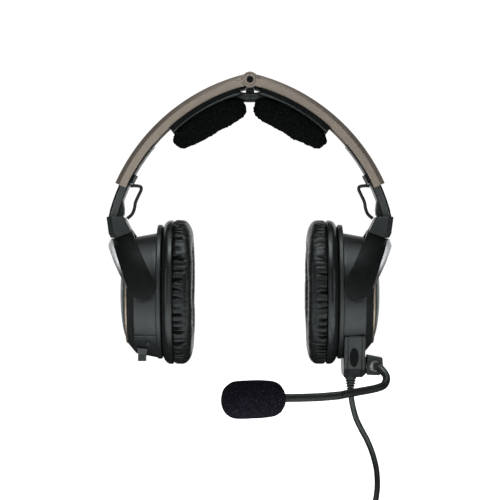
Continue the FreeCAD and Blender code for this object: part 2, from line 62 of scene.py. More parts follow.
def add_camera():
    """Straight in front, level with the middle of the headset and its cord."""
    data = bpy.data.cameras.new("camera")
    data.lens, data.sensor_width = 127.2, 36.0
    camera = bpy.data.objects.new("camera", data)
    camera.location = (0.0, -1.2, 0.0284)
    camera.rotation_euler = (math.pi / 2, 0, 0)
    scene.collection.objects.link(camera)
    scene.camera = camera


add_camera()


# ---------------------------------------------------------------- mesh makers

def keep_mesh(name, verts, faces):
    """A new object from points in millimetres, with its faces turned outwards."""
    mesh = bpy.data.meshes.new(name)
    mesh.from_pydata([Vector(p) * MM for p in verts], [], faces)
    shape = bmesh.new()
    shape.from_mesh(mesh)
    bmesh.ops.recalc_face_normals(shape, faces=shape.faces)
    shape.to_mesh(mesh)
    shape.free()
    mesh.polygons.foreach_set("use_smooth", [True] * len(mesh.polygons))
    mesh.update()
    obj = bpy.data.objects.new(name, mesh)
    scene.collection.objects.link(obj)
    return obj


def from_rings(name, rings, loop=False):
    """A skin over equal rings of points, closed into a loop or capped at both ends."""
    size, total = len(rings[0]), len(rings)
    faces = []
    for i in range(total if loop else total - 1):
        j = (i + 1) % total
        for k in range(size):
            m = (k + 1) % size
            faces.append((i * size + k, i * size + m, j * size + m, j * size + k))
    verts = [point for ring in rings for point in ring]
    if not loop:
        for row in (0, total - 1):
            middle = sum((Vector(p) for p in rings[row]), Vector()) / size
            verts.append(middle)
            for k in range(size):
                faces.append((row * size + k, row * size + (k + 1) % size, len(verts) - 1))
    return keep_mesh(name, verts, faces)


def axes_along(axis):
    """The axis at length 1, and two more square to it and to each other."""
    axis = Vector(axis).normalized()
    side = axis.cross(Vector((0, 0, 1)))
    if side.length < 0.1:
        side = axis.cross(Vector((0, 1, 0)))
    side.normalize()
    return axis, side, axis.cross(side)


def revolve(name, origin, axis, profile, segments=48):
    """A turned shape: profile is a list of (distance along the axis, radius)."""
    axis, side, up = axes_along(axis)
    rings = []
    for along, radius in profile:
        centre = Vector(origin) + axis * along
        ring = []
        for k in range(segments):
            turn = math.tau * k / segments
            ring.append(centre + (side * math.cos(turn) + up * math.sin(turn)) * radius)
        rings.append(ring)
    return from_rings(name, rings)


def smooth_line(points, steps):
    """Points along a smooth line through the given ones."""
    given = [Vector(p) for p in points]
    given = [given[0] * 2 - given[1], *given, given[-1] * 2 - given[-2]]
    line = []
    for a, b, c, e in zip(given, given[1:], given[2:], given[3:]):
        for step in range(steps):
            t = step / steps
            line.append(
                0.5 * (2 * b + (c - a) * t + (2 * a - 5 * b + 4 * c - e) * t * t
                       + (3 * b - a - 3 * c + e) * t ** 3)
            )
    return [*line, given[-2]]


def evenly(line, step):
    """The same line with its points a fixed distance apart."""
    lengths = [0.0]
    for a, b in zip(line, line[1:]):
        lengths.append(lengths[-1] + (b - a).length)
    count = max(2, round(lengths[-1] / step))
    found, at = [], 0
    for k in range(count + 1):
        wanted = lengths[-1] * k / count
        while at < len(line) - 2 and lengths[at + 1] < wanted:
            at += 1
        share = (wanted - lengths[at]) / max(lengths[at + 1] - lengths[at], 1e-9)
        found.append(line[at].lerp(line[at + 1], min(max(share, 0.0), 1.0)))
    return found


def sweep(name, line, section):
    """A skin along a line; section(distance along) gives its (side, up) points."""
    rings, travelled = [], 0.0
    ahead = (line[1] - line[0]).normalized()
    ahead, side, up = axes_along(ahead)
    for k, point in enumerate(line):
        forward = line[min(k + 1, len(line) - 1)] - line[max(k - 1, 0)]
        turn = ahead.rotation_difference(forward.normalized())
        ahead, side, up = turn @ ahead, turn @ side, turn @ up
        if k:
            travelled += (point - line[k - 1]).length
        rings.append([point + side * a + up * b for a, b in section(travelled)])
    return from_rings(name, rings)


def circle(radius, count=24):
    """The corners of a round section."""
    turns = [math.tau * k / count for k in range(count)]
    return [(math.cos(t) * radius, math.sin(t) * radius) for t in turns]


def squared(value, power):
    """A sine or cosine raised to a power below 1, which squares the corners of a round section."""
    return math.copysign(abs(value) ** power, value)


def sculpt(obj, offset):
    """Move each point along its normal by offset(point) millimetres."""
    mesh = obj.data
    mesh.update()
    moved = []
    for vertex, normal in zip(mesh.vertices, mesh.vertex_normals):
        moved.append(vertex.co + normal.vector * (offset(vertex.co / MM) * MM))
    for vertex, place in zip(mesh.vertices, moved):
        vertex.co = place
    mesh.update()
    return obj


def mirror(obj, name):
    """The same piece on the other side."""
    twin = bpy.data.objects.new(name, obj.data.copy())
    twin.data.transform(Matrix.Scale(-1, 4, (1, 0, 0)))
    twin.data.flip_normals()
    scene.collection.objects.link(twin)
    return twin


def both(left):
    """A left piece and its mirrored twin, each with its side and its sign along X."""
    right = mirror(left, left.name.replace("left_", "right_", 1))
    return ("left", 1, left), ("right", -1, right)


def take_side(obj, side, name):
    """A piece that was made for the left: itself, or its twin in its place on the right."""
    if side == "left":
        return obj
    twin = mirror(obj, f"right_{name}")
    bpy.data.objects.remove(obj)
    return twin


def on_arc(radius, degrees, y=0.0):
    """A point at a radius and an angle about the middle of the left arm's arc."""
    turn = math.radians(degrees)
    return Vector((ARC_X + radius * math.cos(turn), y, ARC_Z + radius * math.sin(turn)))


def smoothstep(low, high, value):
    """0 below low and 1 above high, eased between them."""
    t = min(max((value - low) / (high - low), 0.0), 1.0)
    return t * t * (3 - 2 * t)


# ---------------------------------------------------------------- cord

PLUG = (84.5, 23.5, -164.5)    # where the cord goes into the plug's grip


def add_cord():
    """The whole cord on one line: down from the cup, two layers of coil, and out to the plug."""
    route = [
        (68.3, 0, -66.5), (68.8, 0.4, -72.5), (70.2, 1.2, -79.5), (72.2, 1.4, -86.5),
        (75.6, 2.0, -93.5), (79.9, 3.6, -101.0), (84.0, 6.5, -111.0), (87.2, 10.5, -123.5),
        (87.6, 14.0, -138.0), (84.5, 14.6, -151.5), (77.6, 9.2, -162.5), (67.2, -0.6, -167.5),
        (55.2, -9.4, -168.0),
    ]
    lead = [
        (45.4, 50.15, -164.2), (57.2, 47.4, -166.2), (68.6, 41.6, -167.6),
        (78.0, 33.6, -166.4), PLUG,
    ]
    centre, first, last, per_turn = (36.0, 18.0), -55.0, 73.7 - 9 * 360.0, 16
    steps = round((first - last) / 360.0 * per_turn)
    outer, inner = 33.5, 15.8
    coil = []
    for step in range(1, steps):
        share = step / steps
        angle = math.radians(first + (last - first) * share)
        depth = 1 - abs(2 * share - 1)
        radius = outer + (inner - outer) * depth
        height = -168.0 + 4.15 * smoothstep(0.485, 0.515, share)
        coil.append((centre[0] + radius * math.cos(angle),
                     centre[1] + radius * math.sin(angle), height))
    data = bpy.data.curves.new("cord_line", "CURVE")
    data.dimensions = "3D"
    data.bevel_depth, data.bevel_resolution, data.resolution_u = 0.002, 4, 8
    data.use_fill_caps = True
    spline = data.splines.new("NURBS")
    points = [*route, *coil, *lead]
    spline.points.add(len(points) - 1)
    for control, point in zip(spline.points, points):
        control.co = (*(Vector(point) * MM), 1.0)
    spline.order_u = 3
    spline.use_endpoint_u = True
    obj = bpy.data.objects.new("cord_line", data)
    scene.collection.objects.link(obj)
    return obj


cord_line = add_cord()


# ---------------------------------------------------------------- materials

class Shader:
    """A node material with one main shader. Heights are metres, like the object's own space."""

    def __init__(self, name, roughness, metallic=0.0, specular=0.5, **constants):
        self.material = bpy.data.materials.new(name)
        self.material.use_nodes = True
        self.tree = self.material.node_tree
        self.main = self.tree.nodes["Principled BSDF"]
        self.main.inputs["Roughness"].default_value = roughness
        self.main.inputs["Metallic"].default_value = metallic
        self.main.inputs["Specular IOR Level"].default_value = specular
        for socket, value in constants.items():
            self.main.inputs[socket.replace("_", " ")].default_value = value
        self.place = self.node("TexCoord").outputs["Object"]
        self.normal = None

    def node(self, kind, inputs=(), **settings):
        made = self.tree.nodes.new("ShaderNode" + kind)
        for setting, value in settings.items():
            setattr(made, setting, value)
        for socket, value in dict(inputs).items():
            self.feed(made.inputs[socket], value)
        return made

    def feed(self, socket, value):
        if isinstance(value, bpy.types.NodeSocket):
            self.tree.links.new(value, socket)
        else:
            socket.default_value = value

    def stretched(self, x, y, z):
        made = self.node("Mapping", {"Vector": self.place, "Scale": (x, y, z)})
        return made.outputs["Vector"]

    def noise(self, scale, detail=3.0, rough=0.5, place=None):
        made = self.node("TexNoise", {
            "Vector": place or self.place, "Scale": scale, "Detail": detail,
            "Roughness": rough,
        })
        return made.outputs["Fac"]

    def cells(self, scale, feature="F1"):
        made = self.node("TexVoronoi", {"Vector": self.place, "Scale": scale}, feature=feature)
        return made.outputs["Distance"]

    def math(self, operation, a, b=0.0):
        made = self.node("Math", {0: a, 1: b}, operation=operation)
        return made.outputs[0]

    def remap(self, value, low, high, to_low=0.0, to_high=1.0):
        made = self.node("MapRange", {
            "Value": value, "From Min": low, "From Max": high,
            "To Min": to_low, "To Max": to_high,
        })
        return made.outputs["Result"]

    def mix(self, share, a, b):
        made = self.node("Mix", data_type="RGBA")
        self.feed(made.inputs[0], share)
        for socket, value in ((made.inputs[6], a), (made.inputs[7], b)):
            self.feed(socket, (*value, 1.0) if isinstance(value, tuple) else value)
        return made.outputs[2]

    def bump(self, height, distance):
        made = self.node("Bump", {"Height": height, "Distance": distance, "Strength": 1.0})
        if self.normal is not None:
            self.feed(made.inputs["Normal"], self.normal)
        self.normal = made.outputs["Normal"]

    def edges(self, radius=0.0005):
        """1 along the piece's edges, fading to 0 within the radius."""
        soft = self.node("Bevel", {"Radius": radius}, samples=4).outputs["Normal"]
        plain = self.node("NewGeometry").outputs["Normal"]
        dot = self.node("VectorMath", {0: soft, 1: plain}, operation="DOT_PRODUCT")
        return self.remap(dot.outputs["Value"], 0.995, 0.86)

    def coordinate(self, axis):
        return self.node("SeparateXYZ", {0: self.place}).outputs[axis]

    def about_axis(self, x, z):
        """Offsets from an axis along Y through (x, z), and the distance from it."""
        across = self.math("SUBTRACT", self.coordinate("X"), x)
        up = self.math("SUBTRACT", self.coordinate("Z"), z)
        squares = self.math("ADD", self.math("MULTIPLY", across, across),
                            self.math("MULTIPLY", up, up))
        return across, up, self.math("SQRT", squares)

    def done(self, color, roughness=None):
        self.feed(self.main.inputs["Base Color"], color)
        if roughness is not None:
            self.feed(self.main.inputs["Roughness"], roughness)
        if self.normal is not None:
            self.feed(self.main.inputs["Normal"], self.normal)
        return self.material


def shade(color, share):
    """The same colour, darker or lighter."""
    return tuple(min(1.0, c * share) for c in color)


COOL = (0.88, 1.0, 0.99, 1.0)    # the cast of the highlights on black pieces


def moulded(name, color, roughness=0.42, grain=2600, depth=0.00003, wear_and_highlight=3.0, ridges=(),
            **constants):
    """Moulded plastic or rubber: fine grain, soft mottling, edges lighter from rubbed wear and
    painted highlight, and painted shade along any given ridges.
    """
    s = Shader(name, roughness, Specular_Tint=COOL, **constants)
    mottle = s.noise(90, 4)
    base = s.mix(s.remap(mottle, 0.3, 0.7), shade(color, 0.8), shade(color, 1.2))
    # edges lighter: partly rubbed wear, partly painted highlight
    rub_and_highlight = s.math("MULTIPLY", s.edges(), s.remap(s.noise(700, 2), 0.35, 0.7, 0.1, 0.45))
    base = s.mix(rub_and_highlight, base, shade(color, wear_and_highlight))
    # painted shade: a dark line along each ridge, which is also bumped up
    for at in ridges:
        away = s.math("ABSOLUTE", s.math("SUBTRACT", s.coordinate("X"), at))
        line = s.remap(away, 0.0005, 0.0001)
        base = s.mix(s.math("MULTIPLY", line, 0.6), base, shade(color, 0.2))
        s.bump(line, 0.0003)
    s.bump(s.noise(grain, 2), depth)
    rough = s.remap(s.noise(240, 3), 0.3, 0.7, roughness - 0.05, roughness + 0.07)
    return s.done(base, rough)


def metal(name, color, metallic, roughness=0.34):
    """Bare or anodised metal with fine brushing along one direction."""
    s = Shader(name, roughness, metallic=metallic)
    streak = s.noise(1.0, 3, 0.6, s.stretched(60, 2600, 60))
    base = s.mix(s.remap(streak, 0.3, 0.7), shade(color, 0.78), shade(color, 1.18))
    base = s.mix(s.math("MULTIPLY", s.edges(0.0003), 0.5), base, shade(color, 1.8))
    s.bump(streak, 0.00002)
    rough = s.remap(s.noise(300, 3), 0.3, 0.7, roughness - 0.06, roughness + 0.08)
    return s.done(base, rough)


def slider_satin(name, side):
    """Dark satin steel with a fine speckle, black along its outer and inner edges, and a painted
    highlight along the ridge by its outer edge.
    """
    color = (0.037, 0.042, 0.042)
    s = Shader(name, 0.38, metallic=0.55)
    _, _, radius = s.about_axis(side * ARC_X * MM, ARC_Z * MM)
    speck = s.noise(3000, 2)
    base = s.mix(s.remap(speck, 0.35, 0.7), shade(color, 0.8), shade(color, 1.35))
    outside = s.remap(radius, 0.1264, 0.1267)
    inside = s.remap(radius, 0.1224, 0.1221)
    base = s.mix(s.math("MAXIMUM", outside, inside), base, shade(color, 0.06))
    # painted highlight: a light line along the ridge by the outer edge
    ridge_highlight = s.remap(s.math("ABSOLUTE", s.math("SUBTRACT", radius, 0.1263)), 0.00022, 0.00006)
    base = s.mix(s.math("MULTIPLY", ridge_highlight, 0.7), base, shade(color, 3.2))
    s.bump(speck, 0.00001)
    return s.done(base, s.remap(s.noise(300, 2), 0.3, 0.7, 0.34, 0.46))


def arm_paint(name, side):
    """Satin metallic bronze, faintly drawn along the arm, with painted shade in the groove below
    its rim and on the bevel band beside it.
    """
    color = (0.218, 0.188, 0.156)
    s = Shader(name, 0.4, metallic=0.6)
    across, up, radius = s.about_axis(side * ARC_X * MM, ARC_Z * MM)
    turn = s.math("ARCTAN2", up, across)
    drawn = s.node("CombineXYZ", {
        "X": s.math("MULTIPLY", radius, 2400), "Y": s.math("MULTIPLY", turn, 9),
        "Z": s.math("MULTIPLY", s.coordinate("Y"), 2400),
    }).outputs[0]
    streak = s.noise(1.0, 2, 0.5, drawn)
    flake = s.noise(4200, 1)
    base = s.mix(s.remap(streak, 0.3, 0.7), shade(color, 0.96), shade(color, 1.04))
    base = s.mix(s.remap(flake, 0.4, 0.75, 0.0, 0.4), base, shade(color, 1.12))
    # painted shade: the groove below the rim drawn darker, as well as bumped in
    groove = s.math("ABSOLUTE", s.math("SUBTRACT", radius, 0.12775))
    line = s.remap(groove, 0.0005, 0.0001)
    base = s.mix(s.math("MULTIPLY", line, 0.6), base, shade(color, 0.4))
    # painted shade on the bevel band between the groove and the rim
    shadow = s.math("MULTIPLY", s.remap(radius, 0.1276, 0.1280), s.remap(radius, 0.1304, 0.1300))
    base = s.mix(s.math("MULTIPLY", shadow, 0.35), base, shade(color, 0.4))
    s.bump(streak, 0.000006)
    s.bump(s.math("MULTIPLY", line, -1.0), 0.00012)
    rough = s.remap(s.noise(160, 3), 0.3, 0.7, 0.34, 0.46)
    return s.done(base, rough)


def leather_hide():
    """Soft black leather: pebbled grain and fine creases, with painted shade making it dark and
    dull down in the tucks.
    """
    color = (0.0048, 0.0053, 0.0054)
    s = Shader("leather_hide", 0.32, Specular_Tint=COOL)
    pebble = s.cells(1500, "SMOOTH_F1")
    crease = s.noise(420, 5, 0.65)
    tuck = s.node("Attribute", attribute_name="tuck").outputs["Fac"]
    base = s.mix(s.remap(crease, 0.3, 0.7), shade(color, 0.75), shade(color, 1.35))
    base = s.mix(s.remap(s.noise(60, 3), 0.4, 0.8, 0.0, 0.5), base, shade(color, 1.8))
    # painted shade: darker down in the tucks and along the seam
    base = s.mix(s.remap(tuck, 0.05, 0.5), base, shade(color, 0.25))
    s.bump(s.math("MULTIPLY", pebble, -1.0), 0.00005)
    s.bump(crease, 0.00006)
    # painted shade: less reflection down in the tucks and on the seam
    s.feed(s.main.inputs["Specular IOR Level"], s.remap(tuck, 0.02, 0.4, 0.27, 0.03))
    return s.done(base, s.remap(pebble, 0.0, 0.7, 0.26, 0.44))


def fleece_pile():
    """Short dense black pile: rough, with faint grey tips."""
    color = (0.0016, 0.0020, 0.0019)
    s = Shader("fleece_pile", 1.0, specular=0.02)
    curl = s.cells(700)
    base = s.mix(s.remap(curl, 0.1, 0.8), shade(color, 0.5), shade(color, 1.8))
    tips = s.remap(s.noise(2600, 3, 0.7), 0.6, 0.8, 0.0, 0.6)
    base = s.mix(tips, base, shade(color, 4.0))
    s.bump(curl, 0.0004)
    s.bump(s.noise(3200, 3), 0.0002)
    return s.done(base)


def foam_cells():
    """Open-cell foam: dark pores between lighter walls, with scattered pale specks."""
    color = (0.0019, 0.0017, 0.0026)
    s = Shader("foam_cells", 0.95, specular=0.03)
    pores = s.cells(1400, "DISTANCE_TO_EDGE")
    base = s.mix(s.remap(pores, 0.02, 0.25), shade(color, 2.4), shade(color, 0.35))
    base = s.mix(s.remap(s.noise(1400, 2), 0.54, 0.64, 0.0, 1.0), base, shade(color, 8.0))
    s.bump(s.math("MULTIPLY", pores, -1.0), 0.0005)
    return s.done(base)


def woven(name, color, pitch):
    """A plain weave of round threads; the pitch is in threads per metre."""
    s = Shader(name, 0.85, specular=0.3, Sheen_Weight=0.1)
    across = s.math("SINE", s.math("MULTIPLY", s.coordinate("Y"), math.tau * pitch))
    along = s.math("SINE", s.math("MULTIPLY", s.coordinate("Z"), math.tau * pitch))
    sideways = s.math("SINE", s.math("MULTIPLY", s.coordinate("X"), math.tau * pitch))
    weave = s.math("ADD", s.math("MULTIPLY", across, along), s.math("MULTIPLY", sideways, 0.4))
    base = s.mix(s.remap(weave, -1.0, 1.0), shade(color, 0.5), shade(color, 1.7))
    base = s.mix(s.remap(s.noise(500, 3), 0.4, 0.7, 0.0, 0.4), base, shade(color, 2.2))
    s.bump(weave, 0.00008)
    return s.done(base)


def silver_paint():
    """Silver lacquer on the fork's plate, bright at its top, with painted shade darkening it below.
    """
    color = (0.62, 0.63, 0.65)
    s = Shader("plate_silver", 0.36, metallic=0.5)
    flake = s.noise(4200, 2)
    base = s.mix(s.remap(flake, 0.3, 0.7), shade(color, 0.9), shade(color, 1.1))
    base = s.mix(s.math("MULTIPLY", s.edges(0.0003), 0.3), base, shade(color, 1.4))
    # painted shade: the plate darkened from its top down
    fade = s.remap(s.coordinate("Z"), 0.032, 0.012)
    base = s.mix(s.math("MULTIPLY", fade, 0.94), base, shade(color, 0.04))
    s.bump(flake, 0.00001)
    return s.done(base, s.remap(s.noise(240, 3), 0.3, 0.7, 0.31, 0.43))


def circuit_green():
    """Solder mask with faint tracks and pads."""
    s = Shader("circuit_green", 0.4, specular=0.5)
    tracks = s.cells(420, "DISTANCE_TO_EDGE")
    base = s.mix(s.remap(tracks, 0.05, 0.12), (0.03, 0.16, 0.07), (0.008, 0.06, 0.025))
    dots = s.cells(260)
    base = s.mix(s.remap(dots, 0.16, 0.12), base, (0.6, 0.5, 0.3))
    s.bump(tracks, 0.00005)
    return s.done(base)


def plug_metal():
    """Bright nickel with fine streaks from turning."""
    s = Shader("plug_metal", 0.22, metallic=1.0)
    streak = s.noise(1.0, 3, 0.6, s.stretched(2600, 120, 120))
    base = s.mix(s.remap(streak, 0.3, 0.7), (0.5, 0.48, 0.44), (0.68, 0.66, 0.62))
    s.bump(streak, 0.00001)
    return s.done(base, s.remap(s.noise(400, 2), 0.3, 0.7, 0.16, 0.32))


def screw_metal():
    """Socket screw: a bronze rim round a black socket."""
    s = Shader("screw_metal", 0.4, metallic=0.75)
    _, _, radius = s.about_axis(0.0, PIN_Z * MM)
    worn = s.noise(900, 3)
    rim = s.mix(s.remap(worn, 0.3, 0.7), (0.2, 0.175, 0.15), (0.34, 0.3, 0.26))
    base = s.mix(s.remap(radius, 0.0027, 0.0024), rim, (0.004, 0.004, 0.005))
    s.bump(worn, 0.00003)
    return s.done(base, s.remap(worn, 0.3, 0.7, 0.32, 0.5))


BLACK = (0.0062, 0.0070, 0.0072)    # the moulded pieces are shades of this
plastic = moulded("moulded_black", BLACK)
module_plastic = moulded("moulded_module", BLACK, roughness=0.38, specular=0.42,
                         ridges=(0.0652, 0.0746, 0.0768))
clip_plastic = moulded("moulded_clip", shade(BLACK, 2.4), roughness=0.3, specular=0.6)
fork_plastic = moulded("moulded_fork", shade(BLACK, 0.55), roughness=0.44, specular=0.08)
knuckle_plastic = moulded("moulded_knuckle", shade(BLACK, 1.5), specular=0.42)
# painted shade: a darker, duller copy of the black plastic, for the pad carriers and the pieces
# that share it
carrier_plastic = moulded("moulded_carrier", shade(BLACK, 0.5), roughness=0.5, specular=0.06)
plastic_dark = moulded("moulded_dark", shade(BLACK, 0.7), roughness=0.5)
rubber = moulded("rubber_black", (0.006, 0.0064, 0.0066), roughness=0.55, grain=1800, wear_and_highlight=2.0)
jacket = moulded("cord_jacket", (0.0075, 0.008, 0.008), roughness=0.34, grain=3200,
                 depth=0.000015, wear_and_highlight=1.5)
cap_paint = moulded("cap_grey", (0.022, 0.026, 0.030), roughness=0.38, grain=4200, wear_and_highlight=1.8,
                    metallic=0.2, specular=0.2)
plate_paint = silver_paint()
ring_plastic = moulded("moulded_ring", shade(BLACK, 0.8), roughness=0.31, specular=0.42)
button_rubber = moulded("button_black", (0.0015, 0.0015, 0.0018), roughness=0.6, wear_and_highlight=2.0,
                        specular=0.12)
gooseneck_jacket = moulded("gooseneck_jacket", (0.0045, 0.005, 0.005), roughness=0.36,
                           grain=3200, depth=0.000015, wear_and_highlight=1.5, specular=0.3)
steel = metal("steel_satin", (0.55, 0.55, 0.55), metallic=0.5)
steel_dull = metal("steel_dull", (0.26, 0.26, 0.26), metallic=0.6)
trim_metal = metal("trim_bronze", (0.26, 0.215, 0.165), roughness=0.36, metallic=0.8)
leather = leather_hide()
fleece = fleece_pile()
foam = foam_cells()
cloth = woven("acoustic_cloth", (0.012, 0.012, 0.013), pitch=1600)
webbing = woven("tie_webbing", (0.012, 0.012, 0.013), pitch=900)
board = circuit_green()
nickel = plug_metal()
screw = screw_metal()

SHARED = {
    "pad_carrier": carrier_plastic, "wire_clip": carrier_plastic,
    "yoke_knuckle": knuckle_plastic, "fork": fork_plastic, "fork_plate": plate_paint,
    "pivot_pins": steel, "cup_shell": plastic, "baffle": plastic, "cup_cap": cap_paint,
    "trim_ring": trim_metal, "cushion_base": plastic, "driver": plastic_dark,
    "ear_screen": cloth, "ear_cushion": leather, "head_pad": fleece, "loop_wire": jacket,
}
SINGLE = {
    "hinge_pin": screw, "torsion_spring": steel, "bridge_post": rubber, "bridge_band": rubber,
    "cover_blank": plastic, "cover_peg": plastic_dark, "cover_clip": clip_plastic,
    "cable_module": module_plastic, "latch_button": button_rubber, "strain_relief": rubber,
    "boom_washer": steel, "boom_knuckle": plastic, "boom_collar": steel_dull, "boom_tube": jacket,
    "gooseneck": jacket, "mic_case": plastic, "windscreen": foam, "circuit_board": board,
    "cord": jacket, "cord_coil": jacket, "cord_lead": jacket, "cord_tie": webbing,
    "plug_body": rubber, "plug_pin": nickel,
}


def paint(obj, material):
    """The material alone, on the whole piece."""
    obj.data.materials.clear()
    obj.data.materials.append(material)
    return obj


ROUNDED = {    # edge radii in millimetres; the other pieces keep the edges that the CAD gave them
    "arm": 0.35, "fork": 0.3, "fork_plate": 0.3, "cup_shell": 0.3, "slider_strip": 0.2,
    "pad_carrier": 0.4, "cover_blank": 0.3, "cover_clip": 0.8,
}


def dress(name, kind, material):
    """Give a CAD node its material, and soften its edges where the shape allows."""
    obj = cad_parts[name]
    paint(obj, material)
    if kind in ROUNDED:
        weld = obj.modifiers.new("weld", "WELD")
        weld.merge_threshold = 0.000004
        bevel = obj.modifiers.new("bevel", "BEVEL")
        bevel.width, bevel.segments = ROUNDED[kind] * MM, 2
        bevel.limit_method, bevel.angle_limit = "ANGLE", math.radians(34)


for side, sign in (("left", 1), ("right", -1)):
    for kind, material in SHARED.items():
        dress(f"{side}_{kind}", kind, material)
    dress(f"{side}_arm", "arm", arm_paint(f"{side}_arm_paint", sign))
    dress(f"{side}_slider_strip", "slider_strip", slider_satin(f"{side}_slider_satin", sign))
for name, material in SINGLE.items():
    dress(name, name, material)


# ---------------------------------------------------------------- soft pieces

def ear_cushion(name, seed, calm):
    """A ring of stuffed leather: a smooth crowned face, and tucks gathered at its back seam."""
    chance = random.Random(seed)
    tucks, turn = [], 0.0
    while turn < math.tau - 0.05:
        depth = chance.uniform(0.2, 0.9) * (1 - calm * smoothstep(-0.1, 0.55, math.sin(turn)))
        tucks.append((turn, depth, chance.uniform(0.0, 0.35), chance.uniform(-0.05, 0.05)))
        turn += chance.uniform(0.062, 0.105)
    rim_y, rim_z, hole_y, hole_z = 40.0, 49.2, 22.0, 31.0
    middle_x, half_depth = 45.45, 6.6
    rings, depths, around, across = [], [], 720, 64
    for i in range(around):
        t = math.tau * i / around
        near = sorted(
            tucks, key=lambda tuck: abs((t - tuck[0] + math.pi) % math.tau - math.pi)
        )[:5]
        outer = Vector((0, rim_y * math.cos(t), rim_z * math.sin(t)))
        inner = Vector((0, hole_y * math.cos(t), hole_z * math.sin(t)))
        middle, half = (outer + inner) / 2, (outer - inner) / 2
        ring = []
        for k in range(across):
            s = math.tau * k / across
            a, b = math.cos(s), math.sin(s)
            wide = squared(a, 0.72 if b < 0 else 0.36)
            deep = squared(b, 0.78 if b < 0 else 0.5)
            back = (deep + 1) / 2
            wall = smoothstep(0.05, 0.6, a) * smoothstep(0.1, 0.5, back)
            inside = smoothstep(0.1, 0.8, -a) * smoothstep(0.1, 0.5, back) * 0.4
            pull = 0.0
            for at, depth, reach, slant in near:
                away = (t - at - slant * back + math.pi) % math.tau - math.pi
                width = 0.015 + 0.012 * (1 - back)
                fade = smoothstep(reach, reach + 0.5, back)
                pull += depth * fade * math.exp(-((away / width) ** 2))
            gather = pull * (wall + inside)
            wide -= gather * 0.25 * (1 if a > 0 else -1)
            seam = math.exp(-(((back - 0.30) / 0.028) ** 2)) * smoothstep(0.2, 0.6, a)
            wide -= 0.012 * seam
            depths.append(min(gather + 0.1 * seam, 1.0))
            wide *= 1 - 0.02 * smoothstep(0.93, 1.0, back)
            crown = 0.9 * (1 - a * a) if b < 0 else 0.0
            slope = 2.0 * math.sin(t) ** 4 * (1 - back) * smoothstep(-0.6, 0.8, a)
            x = middle_x + deep * half_depth - crown + slope
            ring.append(middle + half * wide + Vector((x, 0, 0)))
        rings.append(ring)
    cushion = from_rings(name, rings, loop=True)
    # how deep each point lies in a tuck or on the seam, where the leather paints shade
    tuck = cushion.data.attributes.new("tuck", "FLOAT", "POINT")
    tuck.data.foreach_set("value", depths)
    shift = Vector((seed * 7.1, 0, 0))

    def wrinkle(p):
        broad = noise.noise(p * 0.07 + shift) * 0.5
        fine = noise.noise(Vector((p.x * 0.25, p.y * 0.5, p.z * 0.5)) + shift) * 0.22
        return broad + fine - 0.3

    return sculpt(cushion, wrinkle)


def add_ear_cushions():
    """Both cushions, each with its own folds; calm smooths the folds of the upper half."""
    for side, seed, calm in (("left", 5, 0.7), ("right", 11, 0.3)):
        cushion = take_side(ear_cushion("left_cushion_cover", seed, calm), side, "cushion_cover")
        paint(cushion, leather)
        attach(cushion, f"{side}_cup")
        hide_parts(f"{side}_ear_cushion")


def add_base_rings():
    """The plastic ring behind each cushion: full at the cushion, drawn in to the flange."""
    rim_y, rim_z, hole_y, hole_z, full, drop = 39.1, 48.7, 24.0, 33.0, 15.5, 0.15
    profile = [
        (51.5, 0.5), (51.4, 3.0), (51.4, 8.0), (51.4, 14.4), (51.7, 15.2), (52.6, 15.55),
        (54.6, 15.4), (56.2, 14.6), (57.6, 13.0), (58.6, 11.0), (59.0, 9.6), (59.0, 0.5),
    ]
    line = evenly(smooth_line([(x, reach, 0) for x, reach in profile[:-1]], 8), 0.6)
    line += [Vector((59.0, 5.0, 0)), Vector((59.0, 0.5, 0)), Vector((56.0, 0.0, 0))]
    rings, around = [], 240
    for i in range(around):
        t = math.tau * i / around
        inner = Vector((0, hole_y * math.cos(t), hole_z * math.sin(t)))
        outer = Vector((0, rim_y * math.cos(t), rim_z * math.sin(t)))
        rings.append([
            inner + (outer - inner) * (p.y / full) + Vector((p.x, 0, -drop)) for p in line
        ])
    for side, _, obj in both(from_rings("left_base_ring", rings, loop=True)):
        paint(obj, ring_plastic)
        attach(obj, f"{side}_cup")
        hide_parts(f"{side}_cushion_base")


def rounded_cube(name, cuts, power, shape):
    """A cube with its corners drawn in, its points placed by shape(a, b, c), each -1 to 1."""
    made = bmesh.new()
    bmesh.ops.create_cube(made, size=2.0)
    bmesh.ops.subdivide_edges(made, edges=made.edges, cuts=cuts, use_grid_fill=True)
    verts = []
    for vertex in made.verts:
        a, b, c = vertex.co
        reach = max(abs(a), abs(b), abs(c))
        size = (abs(a) ** power + abs(b) ** power + abs(c) ** power) ** (1 / power)
        verts.append(shape(*(Vector((a, b, c)) * (reach / size))))
    made.verts.index_update()
    faces = [[vertex.index for vertex in face.verts] for face in made.faces]
    made.free()
    return keep_mesh(name, verts, faces)


def head_pad(name, seed):
    """A thick fleece pad under one arm of the headband."""
    def shape(a, b, c):
        crown = 1.2 * (1 - b * b) * (1 - c * c) if a < 0 else 0.0
        lift = 2.2 * smoothstep(-0.2, -1.0, b) * (1 - a) / 2
        radius = 110.4 + a * 7.4 - crown + lift
        return on_arc(radius, 59.3 + b * 14.0, c * 18.4)

    pad = rounded_cube(name, 90, 3.5, shape)
    shift = Vector((seed * 3.3, seed * 1.7, 0))

    def pile(p):
        lump = noise.noise(p * 0.16 + shift) * 0.8
        tuft = noise.noise(p * 0.45 + shift) * 0.75
        curl = noise.noise(p * 1.2 + shift) * 0.45
        return lump + tuft + curl

    return sculpt(pad, pile)


def add_head_pads():
    """Both fleece pads, each with its own pile."""
    for side, seed in (("left", 2), ("right", 9)):
        pad = take_side(head_pad("left_fleece_pad", seed), side, "fleece_pad")
        paint(pad, fleece)
        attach(pad, f"{side}_arm")
        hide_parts(f"{side}_head_pad")


